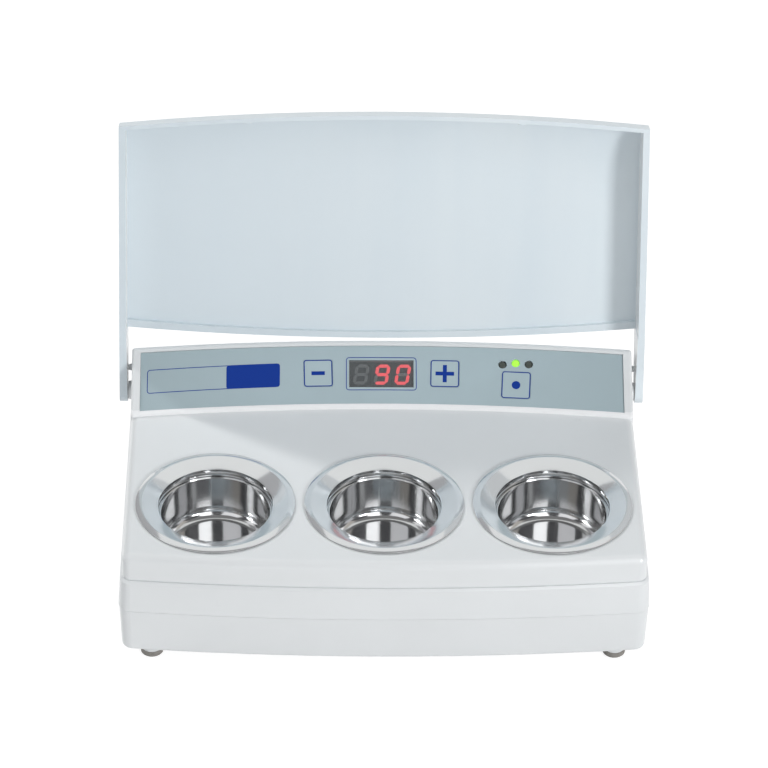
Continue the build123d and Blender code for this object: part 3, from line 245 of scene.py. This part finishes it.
def hood_plastic():
    """Pale blue, slightly cloudy sheet-like moulding with soft flow bands; painted shade darkens it towards
    the left, and the faces turned sideways are painted lighter.
    """
    made = Finish("hood_plastic", ior=1.49, coat_weight=0.2, coat_roughness=0.1)
    bands = made.noise(1.0, 3.0, 0.55, made.stretched(22.0, 5.0, 3.0))
    cloud = made.noise(9.0, 4.0, 0.6)
    grain = made.noise(1500.0, 2.0, 0.6)
    pale = made.blend(made.steps(bands, (0.36, 0.0), (0.66, 1.0)), srgb(234, 242, 246), srgb(226, 236, 242))
    tinted = made.blend(made.steps(cloud, (0.42, 0.0), (0.75, 0.55)), pale, srgb(236, 241, 243))
    across = made.node("SeparateXYZ", {}, {0: made.node("TexCoord", output="Normal")}, output="X").size()
    # Painted shade: the hood's colour darkens towards its left side, where the left cheek shades it.
    left_shade_mask = (0.45 - 3.6 * made.axis("X")).most(0.0)
    left_shaded_tint = made.blend(left_shade_mask.least(1.0), tinted, srgb(220, 230, 236))
    made.feed(
        # Painted light: faces turned sideways (cheeks and arms) are painted a lighter, less blue grey than
        # the rest of the moulding.
        base_color=made.blend(across > 0.75, left_shaded_tint, srgb(240, 241, 241)),
        roughness=0.34 + 0.12 * (cloud - 0.5) + 0.05 * (grain - 0.5),
        normal=made.bumps(grain + 0.4 * cloud, 0.00003),
    )
    return made.material


def printed_film(name, colour, rough=0.42):
    """Matt polyester film: pearly grey ink under a fine embossed texture."""
    made = Finish(name, ior=1.5, specular_ior_level=0.35)
    grain = made.noise(3800.0, 2.0, 0.7)
    cloud = made.noise(30.0, 4.0, 0.6)
    clouded = made.blend(made.steps(cloud, (0.3, 0.0), (0.75, 1.0)), colour, tuple(c * 0.93 for c in colour))
    # Painted shade: the film is darkened towards both ends of its width.
    across = made.axis("X") * 8.0
    made.feed(
        base_color=made.blend((across * across).least(1.0), clouded, tuple(c * 0.86 for c in colour)),
        roughness=rough + 0.12 * (grain - 0.5) + 0.08 * (cloud - 0.5),
        normal=made.bumps(grain, 0.00002),
    )
    return made.material


def ink(name, colour, rough=0.45):
    made = Finish(name, ior=1.5, specular_ior_level=0.12)
    speckle = made.noise(2600.0, 2.0, 0.6)
    made.feed(
        base_color=made.blend(speckle, colour, tuple(c * 0.82 for c in colour)),
        roughness=rough + 0.1 * (speckle - 0.5),
        normal=made.bumps(speckle, 0.00001),
    )
    return made.material


def glowing(name, colour, light, strength, rough=0.3):
    made = Finish(name, ior=1.5, emission_strength=strength)
    mottle = made.noise(900.0, 3.0, 0.6)
    made.feed(
        base_color=made.blend(mottle, colour, tuple(c * 0.8 for c in colour)),
        emission_color=made.blend(mottle, light, tuple(c * 0.86 for c in light)),
        roughness=rough + 0.1 * (mottle - 0.5),
    )
    return made.material


def smoked_window():
    made = Finish("smoked_window", ior=1.5, alpha=0.42, coat_weight=0.6, coat_roughness=0.05)
    haze = made.noise(180.0, 3.0, 0.6)
    made.feed(
        base_color=made.blend(haze, srgb(116, 120, 121), srgb(104, 108, 110)),
        roughness=0.14 + 0.08 * haze,
        normal=made.bumps(haze, 0.000004),
    )
    return made.material


def rubber(name, colour):
    made = Finish(name, ior=1.45)
    grain = made.noise(1400.0, 4.0, 0.7)
    dust = made.noise(160.0, 4.0, 0.6)
    dusty = tuple(c * 1.25 + 0.02 for c in colour)
    made.feed(
        base_color=made.blend(made.steps(dust, (0.4, 0.0), (0.75, 1.0)), colour, dusty),
        roughness=0.72 + 0.16 * (dust - 0.5),
        normal=made.bumps(grain, 0.00006),
    )
    return made.material


def sheet_metal(name, colour, rough, along=(8.0, 900.0, 900.0)):
    """Rolled or plated metal with a one-way grain."""
    made = Finish(name, metallic=1.0)
    grain = made.noise(1.0, 3.0, 0.6, made.stretched(*along))
    stain = made.noise(70.0, 4.0, 0.6)
    made.feed(
        base_color=made.blend(stain, colour, tuple(c * 0.84 for c in colour)),
        roughness=rough + 0.12 * (grain - 0.5) + 0.1 * (stain - 0.5),
        normal=made.bumps(grain, 0.000015),
    )
    return made.material


def circuit_board():
    """Green solder mask over faintly raised copper tracks."""
    made = Finish("circuit_board", ior=1.5, coat_weight=0.3)
    tracks = made.node("TexBrick", {}, {
        "Vector": made.place(), "Scale": 90.0, "Mortar Size": 0.035,
        "Color1": (0, 0, 0, 1), "Color2": (0.3, 0.3, 0.3, 1), "Mortar": (1, 1, 1, 1),
    })
    speck = made.noise(700.0, 3.0, 0.6)
    made.feed(
        base_color=made.blend(tracks, srgb(18, 82, 48), srgb(44, 124, 72)),
        roughness=0.35 + 0.12 * speck,
        normal=made.bumps(tracks, 0.00004),
    )
    return made.material


def plain_dark(name, colour, rough=0.5):
    return moulded(name, colour, rough, grain=0.00004, grain_scale=1800.0, worn=0.2).material


SHELL = white_shell()
HOOD = hood_plastic()
FILM = printed_film("panel_film", srgb(182, 200, 206))
KEY_FILM = printed_film("key_film", srgb(183, 202, 208), 0.4)
BLUE_INK = ink("blue_ink", srgb(20, 62, 160))
WELL_CENTRES = [(x, WELL_Y) for x in WELLS.values()]
RING_METAL = turned_metal("ring_metal", WELL_CENTRES, (0.81, 0.82, 0.83), 0.09, 0.20, 0.000004)
POT_METAL = polished_pot()
WINDOW = smoked_window()
DIGIT_ON = glowing("digit_on", (0.7, 0.1, 0.11), (1.0, 0.10, 0.12), 2.1)
DIGIT_OFF = plain_dark("digit_off", srgb(226, 229, 230), 0.45)
DISPLAY_BLOCK = plain_dark("display_block", srgb(118, 121, 122), 0.5)
LAMP_ON = glowing("lamp_on", (0.3, 0.75, 0.08), (0.40, 0.82, 0.05), 0.78, 0.2)
LAMP_OFF = moulded("lamp_off", srgb(78, 84, 78), 0.22, sheen_coat=0.5).material
FOOT_RUBBER = rubber("foot_rubber", srgb(138, 134, 129))
BLACK_RUBBER = rubber("black_rubber", (0.02, 0.02, 0.02))
SCREW_STEEL = sheet_metal("screw_steel", (0.62, 0.62, 0.61), 0.3, (300.0, 300.0, 300.0))
SHIELD_METAL = sheet_metal("shield_metal", (0.78, 0.79, 0.8), 0.34)
HEATER_CLAD = sheet_metal("heater_clad", (0.5, 0.48, 0.45), 0.42, (300.0, 300.0, 40.0))
CORE_STEEL = sheet_metal("core_steel", (0.2, 0.2, 0.21), 0.5, (900.0, 8.0, 8.0))
BRASS = sheet_metal("plated_brass", (0.75, 0.66, 0.42), 0.28, (300.0, 20.0, 300.0))
PLATE_FILM = printed_film("plate_film", srgb(198, 200, 202), 0.35)
BOARD = circuit_board()
DARK_PLASTIC = plain_dark("dark_plastic", (0.022, 0.022, 0.023), 0.42)
RED_LEAD = plain_dark("red_lead", (0.42, 0.05, 0.04), 0.5)
BLUE_LEAD = plain_dark("blue_lead", (0.05, 0.12, 0.4), 0.5)
GREY_LEAD = plain_dark("grey_lead", (0.4, 0.4, 0.41), 0.55)
FUSE_GLASS = smoked_window()

NODE_FINISHES = {
    "upper_housing": SHELL, "base_housing": SHELL, "rating_plate": PLATE_FILM, "feet": FOOT_RUBBER,
    "housing_screws": SCREW_STEEL, "heat_shield": SHIELD_METAL, "hood": HOOD,
    "hinge_pin_left": SCREW_STEEL, "hinge_pin_right": SCREW_STEEL, "hinge_clips": SCREW_STEEL,
    "control_foil": FILM, "display_window": WINDOW, "minus_key": KEY_FILM, "plus_key": KEY_FILM,
    "program_key": KEY_FILM, "status_lamp_left": LAMP_OFF, "status_lamp_middle": LAMP_ON,
    "status_lamp_right": LAMP_OFF, "display_module": DISPLAY_BLOCK, "display_segments_lit": DIGIT_ON,
    "display_segments_dark": DIGIT_OFF, "control_board": BOARD, "key_switches": DARK_PLASTIC,
    "power_board": BOARD, "transformer": CORE_STEEL, "heat_sink": SHIELD_METAL, "triacs": DARK_PLASTIC,
    "board_fuse": FUSE_GLASS, "board_screws": SCREW_STEEL, "heater_leads": RED_LEAD,
    "mains_leads": BLUE_LEAD, "ribbon_cable": GREY_LEAD, "mains_inlet": DARK_PLASTIC,
    "inlet_blades": BRASS, "power_switch": DARK_PLASTIC, "power_switch_rocker": DARK_PLASTIC,
}
for side in WELLS:
    NODE_FINISHES.update({
        f"heating_cup_{side}": RING_METAL, f"wax_pot_{side}": POT_METAL,
        f"flange_gasket_{side}": BLACK_RUBBER, f"clamp_ring_{side}": SHIELD_METAL,
        f"heater_band_{side}": HEATER_CLAD, f"temperature_sensor_{side}": SCREW_STEEL,
    })
for name, finish in NODE_FINISHES.items():
    for material_slot in NODES[name].material_slots:
        material_slot.material = finish

# ------------------------------------------------------------------ shapes


def piece_from(name, points, faces, finish, body, crease=35.0):
    """A mesh piece in millimetres, smooth-shaded up to this edge angle, riding on a body."""
    mesh = bpy.data.meshes.new(name)
    mesh.from_pydata([Vector(p) * MM for p in points], [], faces)
    mesh.materials.append(finish)
    made = bmesh.new()
    made.from_mesh(mesh)
    bmesh.ops.recalc_face_normals(made, faces=made.faces)
    made.to_mesh(mesh)
    made.free()
    mesh.shade_smooth()
    mesh.set_sharp_from_angle(angle=math.radians(crease))
    piece = bpy.data.objects.new(name, mesh)
    bpy.context.scene.collection.objects.link(piece)
    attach(piece, body)
    return piece


def turned(name, centre_x, profile, finish, body, segments=192):
    """A closed profile of (radius, height) turned about a well's axis."""
    points, rings = [], []
    for radius, height in profile:
        if radius == 0:
            rings.append([len(points)] * segments)
            points.append((centre_x, WELL_Y, height))
            continue
        start = len(points)
        for step in range(segments):
            angle = 2 * math.pi * step / segments
            points.append((centre_x + radius * math.cos(angle), WELL_Y + radius * math.sin(angle), height))
        rings.append(list(range(start, start + segments)))
    faces = []
    for lower, upper in zip(rings, rings[1:]):
        for step in range(segments):
            after = (step + 1) % segments
            corners = [lower[step], lower[after], upper[after], upper[step]]
            faces.append(tuple(dict.fromkeys(corners)))
    return piece_from(name, points, faces, finish, body)


def rounded_corner(centre, radius, start, end, steps):
    """Points of an arc in a profile, from one angle to another in degrees."""
    return [
        (centre[0] + radius * math.cos(math.radians(start + (end - start) * i / steps)),
         centre[1] + radius * math.sin(math.radians(start + (end - start) * i / steps)))
        for i in range(steps + 1)
    ]


# Panel: a cone that rises to the back; across and up are measured on it from the film's front edge.
SLOPE = math.radians(32.0)
RUN, RISE = math.cos(SLOPE), math.sin(SLOPE)
FOIL_HALF, FOIL_BOW = 125.8, 7.2
FOIL_RADIUS = (FOIL_HALF ** 2 + FOIL_BOW ** 2) / (2 * FOIL_BOW)
BACK_AXIS_Y = 31.0 - FOIL_RADIUS
FOIL_FRONT_Z = 69.2


def panel_point(across, up, lift):
    reach = FOIL_RADIUS + up * RUN - lift * RISE
    turn = math.asin(across / reach)
    return (across, BACK_AXIS_Y + reach * math.cos(turn), FOIL_FRONT_Z + up * RISE + lift * RUN)


def tile_frame(across, up):
    """Function from a key's own (x, y, lift) to space: the flat tile's plane at this place."""
    origin = Vector(panel_point(across, up, 0.0))
    reach = FOIL_RADIUS + up * RUN
    turn = math.asin(across / reach)
    right = Vector((math.cos(turn), -math.sin(turn), 0.0))
    out = Vector((-RISE * math.sin(turn), -RISE * math.cos(turn), RUN))
    back = out.cross(right)
    return lambda x, y, lift: tuple(origin + right * x + back * y + out * lift)


def slab(name, loops, place, finish, body, low=-0.02, high=0.05, filled=False):
    """A thin raised print: matched loops of (x, y), outermost first, filled between them."""
    points, faces = [], []
    count = len(loops[0])
    for lift in (high, low):
        for loop in loops:
            points += [place(x, y, lift) for x, y in loop]
    layer = count * len(loops)

    def index(level, ring, step):
        return level * layer + ring * count + step % count

    for ring in range(len(loops) - 1):
        for step in range(count):
            for level in (0, 1):
                faces.append((index(level, ring, step), index(level, ring, step + 1),
                              index(level, ring + 1, step + 1), index(level, ring + 1, step)))
    if filled:
        faces += [tuple(index(level, len(loops) - 1, step) for step in range(count)) for level in (0, 1)]
    for ring in (0,) if filled else (0, len(loops) - 1):
        for step in range(count):
            faces.append((index(0, ring, step), index(0, ring, step + 1),
                          index(1, ring, step + 1), index(1, ring, step)))
    return piece_from(name, points, faces, finish, body)


def rounded_loop(width, height, radius, per_side=12, per_corner=5, centre=(0.0, 0.0), slant=0.0):
    """Closed loop of a rounded rectangle, with points along its sides as well."""
    half_w, half_h = width / 2, height / 2
    loop = []
    corners = [(half_w, half_h, 0), (-half_w, half_h, 90), (-half_w, -half_h, 180), (half_w, -half_h, 270)]
    for number, (cx, cy, start) in enumerate(corners):
        inner = (cx - math.copysign(radius, cx), cy - math.copysign(radius, cy))
        arc = rounded_corner(inner, radius, start, start + 90, per_corner)
        loop += arc
        nx, ny, turn = corners[(number + 1) % 4]
        following = (nx - math.copysign(radius, nx) + radius * math.cos(math.radians(turn)),
                     ny - math.copysign(radius, ny) + radius * math.sin(math.radians(turn)))
        last = arc[-1]
        for step in range(1, per_side):
            share = step / per_side
            loop.append((last[0] + (following[0] - last[0]) * share,
                         last[1] + (following[1] - last[1]) * share))
    return [(x + centre[0], y + centre[1] + slant * x) for x, y in loop]


def shrunk(loop, share, centre=(0.0, 0.0)):
    return [(centre[0] + (x - centre[0]) * share, centre[1] + (y - centre[1]) * share) for x, y in loop]


# Pots and cups, turned finely enough for clean reflections.
LEDGE_Z, POT_RIM_Z, POT_FLOOR_Z = 61.1, 61.9, 37.9
POT_PROFILE = (
    [(0, 37.4)]
    + rounded_corner((21.4, 43.9), 6.5, -90, 0, 12)
    + [(27.9, 60.95), (28.0, 61.08), (28.3, LEDGE_Z)]
    + rounded_corner((28.35, 61.5), 0.25, -60, 90, 6)
    + [(27.9, POT_RIM_Z)]
    + rounded_corner((27.7, 61.6), 0.3, 90, 180, 5)
    + rounded_corner((21.4, 43.9), 6.0, 0, -90, 12)
    + [(14.0, 37.88), (0, POT_FLOOR_Z)]
)
CUP_PROFILE = [
    (0, 33.0), (30.7, 33.0), (31.2, 33.5), (31.2, 58.1), (34.9, 58.1), (35.0, 58.2), (35.0, 67.5),
    (40.0, 67.5), (40.2, 67.62), (40.2, 67.82), (40.06, 67.95), (37.35, 68.56), (37.15, 68.6),
    (36.9, 68.6), (36.7, 68.52), (29.15, 66.18), (28.96, 66.06), (28.9, 65.9), (28.9, LEDGE_Z),
    (28.2, LEDGE_Z), (28.2, 37.0), (0, 37.0),
]
for side, x in WELLS.items():
    pot = turned(f"pot_{side}", x, POT_PROFILE, POT_METAL, f"pot_{side}")
    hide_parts(f"wax_pot_{side}")
    cup = turned(f"cup_{side}", x, CUP_PROFILE, RING_METAL, "housing")
    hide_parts(f"heating_cup_{side}")

# Prints on the panel film and on the keys.
KEYS = {"minus_key": (-33.4, 17.3), "plus_key": (32.8, 17.3), "program_key": (69.9, 12.1)}
for key, (across, up) in KEYS.items():
    place = tile_frame(across, up)
    slab(f"{key}_outline", [rounded_loop(14.9, 14.9, 1.35), rounded_loop(13.9, 13.9, 0.9)], place,
         BLUE_INK, key)
    slab(f"{key}_gap_film", [rounded_loop(16.0, 16.0, 1.9), rounded_loop(15.2, 15.2, 1.5)], place,
         FILM, "housing", -0.6, -0.14)
place = tile_frame(*KEYS["minus_key"])
slab("minus_sign", [rounded_loop(7.0, 2.1, 0.1)], place, BLUE_INK, "minus_key", filled=True)
place = tile_frame(*KEYS["plus_key"])
PLUS_SIZE, PLUS_BAR = 4.85, 1.05
plus_loop = []
for quarter in range(4):
    turn = quarter * math.pi / 2
    for x, y in ((PLUS_BAR, PLUS_BAR), (PLUS_BAR, PLUS_SIZE), (-PLUS_BAR, PLUS_SIZE)):
        plus_loop.append((x * math.cos(turn) - y * math.sin(turn), x * math.sin(turn) + y * math.cos(turn)))
slab("plus_sign", [plus_loop], place, BLUE_INK, "plus_key", filled=True)
place = tile_frame(*KEYS["program_key"])
dot = [(2.25 * math.cos(math.tau * i / 48), 2.25 * math.sin(math.tau * i / 48)) for i in range(48)]
slab("program_dot", [dot], place, BLUE_INK, "program_key", filled=True)

slab("display_outline",
     [rounded_loop(36.9, 18.5, 1.7, centre=(-0.4, 16.8)), rounded_loop(36.1, 17.7, 1.3, centre=(-0.4, 16.8))],
     panel_point, BLUE_INK, "housing")
NAME_PLACE = (-87.9, 16.3)
slab("name_outline",
     [rounded_loop(69.1, 13.2, 1.6, 30, centre=NAME_PLACE, slant=0.009),
      rounded_loop(68.3, 12.4, 1.2, 30, centre=NAME_PLACE, slant=0.009)],
     panel_point, BLUE_INK, "housing")
BLOCK_PLACE = (-67.3, 16.5)
block = rounded_loop(27.9, 13.2, 1.5, 16, centre=BLOCK_PLACE, slant=0.009)
slab("name_block", [block, shrunk(block, 0.5, BLOCK_PLACE), shrunk(block, 0.05, BLOCK_PLACE)],
     panel_point, BLUE_INK, "housing", high=0.052, filled=True)

# ------------------------------------------------------------------ floor, light and camera


def stage_sheet(name, corners, finish):
    mesh = bpy.data.meshes.new(name)
    mesh.from_pydata(corners, [], [tuple(range(len(corners)))])
    mesh.materials.append(finish)
    sheet = bpy.data.objects.new(name, mesh)
    bpy.context.scene.collection.objects.link(sheet)
    return sheet


def seen_directly(tree):
    """1 for what the camera, a mirror or glass looks at, and 0 for light that falls on things."""
    path = tree.nodes.new("ShaderNodeLightPath")
    total = path.outputs["Is Camera Ray"]
    for ray in ("Is Glossy Ray", "Is Transmission Ray"):
        add = tree.nodes.new("ShaderNodeMath")
        add.operation = "MAXIMUM"
        tree.links.new(total, add.inputs[0])
        tree.links.new(path.outputs[ray], add.inputs[1])
        total = add.outputs[0]
    return total


def floor_finish():
    material = bpy.data.materials.new("pale_floor")
    material.use_nodes = True
    tree = material.node_tree
    tree.nodes.clear()
    out = tree.nodes.new("ShaderNodeOutputMaterial")
    plain = tree.nodes.new("ShaderNodeBsdfDiffuse")
    plain.inputs["Color"].default_value = (0.8, 0.8, 0.8, 1)
    thin = tree.nodes.new("ShaderNodeBsdfDiffuse")
    thin.inputs["Color"].default_value = (0.3, 0.3, 0.3, 1)
    glow = tree.nodes.new("ShaderNodeEmission")
    glow.inputs["Strength"].default_value = 0.86
    both = tree.nodes.new("ShaderNodeAddShader")
    mix = tree.nodes.new("ShaderNodeMixShader")
    tree.links.new(thin.outputs[0], both.inputs[0])
    tree.links.new(glow.outputs[0], both.inputs[1])
    tree.links.new(seen_directly(tree), mix.inputs[0])
    tree.links.new(plain.outputs[0], mix.inputs[1])
    tree.links.new(both.outputs[0], mix.inputs[2])
    tree.links.new(mix.outputs[0], out.inputs["Surface"])
    return material


FLOOR = floor_finish()
stage_sheet("floor", [(-6, -6, 0), (6, -6, 0), (6, 6, 0), (-6, 6, 0)], FLOOR)

world = bpy.data.worlds.new("studio")
bpy.context.scene.world = world
world.use_nodes = True
tree = world.node_tree
tree.nodes.clear()
out = tree.nodes.new("ShaderNodeOutputWorld")
shown = tree.nodes.new("ShaderNodeBackground")
shown.inputs["Color"].default_value = (1, 1, 1, 1)
ambient = tree.nodes.new("ShaderNodeBackground")
ambient.inputs["Color"].default_value = (0.93, 0.97, 1.0, 1)
ambient.inputs["Strength"].default_value = 0.36
mix = tree.nodes.new("ShaderNodeMixShader")
tree.links.new(seen_directly(tree), mix.inputs[0])
tree.links.new(ambient.outputs[0], mix.inputs[1])
tree.links.new(shown.outputs[0], mix.inputs[2])
tree.links.new(mix.outputs[0], out.inputs["Surface"])


def soft_light(name, place, target, width, height, power, colour=(1, 1, 1)):
    lamp = bpy.data.lights.new(name, "AREA")
    lamp.shape = "RECTANGLE"
    lamp.size, lamp.size_y = width, height
    lamp.energy = power
    lamp.color = colour
    holder = bpy.data.objects.new(name, lamp)
    bpy.context.scene.collection.objects.link(holder)
    holder.location = place
    holder.rotation_euler = (Vector(target) - Vector(place)).to_track_quat("-Z", "Y").to_euler()
    return holder


# The lamp that throws the hood's shadow stays out of reflections, like the two wide fills after it.
key_light = soft_light("rear_left", (-1.35, 1.15, 1.55), (0, 0, 0.06), 0.12, 0.40, 17.5, (1.0, 0.99, 0.97))
key_light.visible_glossy = False
soft_light("front_right", (1.3, -1.5, 0.9), (0, 0, 0.1), 0.45, 0.6, 20.0)
for name, place, width, height, power in (
    ("overhead", (0.1, -0.6, 2.2), 1.4, 1.0, 4.3),
    ("front_left", (-1.7, -1.0, 0.7), 1.0, 0.8, 3.2),
):
    soft_light(name, place, (0, -0.05, 0.05), width, height, power).visible_glossy = False


def card_finish(name, light):
    material = bpy.data.materials.new(name)
    material.use_nodes = True
    tree = material.node_tree
    tree.nodes.clear()
    out = tree.nodes.new("ShaderNodeOutputMaterial")
    glow = tree.nodes.new("ShaderNodeEmission")
    glow.inputs["Color"].default_value = (*light, 1)
    tree.links.new(glow.outputs[0], out.inputs["Surface"])
    return material


def studio_card(name, corners, light):
    """A card of the studio that is seen only in reflections."""
    card = stage_sheet(name, corners, card_finish(name, light))
    card.visible_camera = False
    card.visible_diffuse = False
    card.visible_shadow = False
    card.visible_transmission = False


def around(azimuth, elevation, distance=2.6):
    """Corners between two azimuths and two elevations; azimuth 0 is in front, positive to the right."""
    corners = []
    for a, e in ((0, 0), (1, 0), (1, 1), (0, 1)):
        a, e = math.radians(azimuth[a]), math.radians(elevation[e])
        corners.append((distance * math.cos(e) * math.sin(a), -distance * math.cos(e) * math.cos(a),
                        distance * math.sin(e)))
    return corners


DARK, GREY = (0.11, 0.11, 0.115), (1.1, 1.1, 1.12)
for name, azimuth, light in (
    ("far_left", (-150, -97), (0.35, 0.35, 0.36)),
    ("left_dark", (-77, -57), DARK),
    ("left_grey", (-57, -17), GREY),
    ("middle_dark", (-17, 8), DARK),
    ("streak", (8, 37), (2.3, 2.3, 2.3)),
    ("right_dark", (37, 74), DARK),
    ("right_warm", (74, 112), (0.60, 0.57, 0.53)),
    ("far_right", (112, 150), (0.60, 0.62, 0.63)),
):
    studio_card(name, around(azimuth, (8, 62)), light)
for name, azimuth in (("back_left", (-178, -150)), ("back_right", (150, 178))):
    studio_card(name, around(azimuth, (15, 62)), (0.52, 0.58, 0.60))
CARD_REACH, CARD_HEIGHT = 1.6, 1.9
for name, front, rear, light in (
    ("top_back", 0.05, 1.5, (0.90, 0.91, 0.90)),
    ("top_front", -1.1, 0.05, (0.25, 0.25, 0.25)),
):
    corners = [(-CARD_REACH, front, CARD_HEIGHT), (CARD_REACH, front, CARD_HEIGHT),
               (CARD_REACH, rear, CARD_HEIGHT), (-CARD_REACH, rear, CARD_HEIGHT)]
    studio_card(name, corners, light)

PHOTO_PIXELS = 768.0
FOCAL_PIXELS = 3749.7
camera_data = bpy.data.cameras.new("photo_camera")
camera_data.sensor_width = 36.0
camera_data.lens = FOCAL_PIXELS * camera_data.sensor_width / PHOTO_PIXELS
camera_data.clip_end = 20.0
camera = bpy.data.objects.new("photo_camera", camera_data)
bpy.context.scene.collection.objects.link(camera)
camera.location = (-0.03645, -1.52874, 1.24471)
forward = Vector((0.01913, 0.80161, -0.59754)).normalized()
up = Vector((-0.00362, 0.59770, 0.80171))
right = forward.cross(up).normalized()
up = right.cross(forward)
camera.matrix_world = Matrix((
    (right.x, up.x, -forward.x, camera.location.x),
    (right.y, up.y, -forward.y, camera.location.y),
    (right.z, up.z, -forward.z, camera.location.z),
    (0, 0, 0, 1),
))
bpy.context.scene.camera = camera
bpy.context.scene.view_settings.view_transform = "Standard"
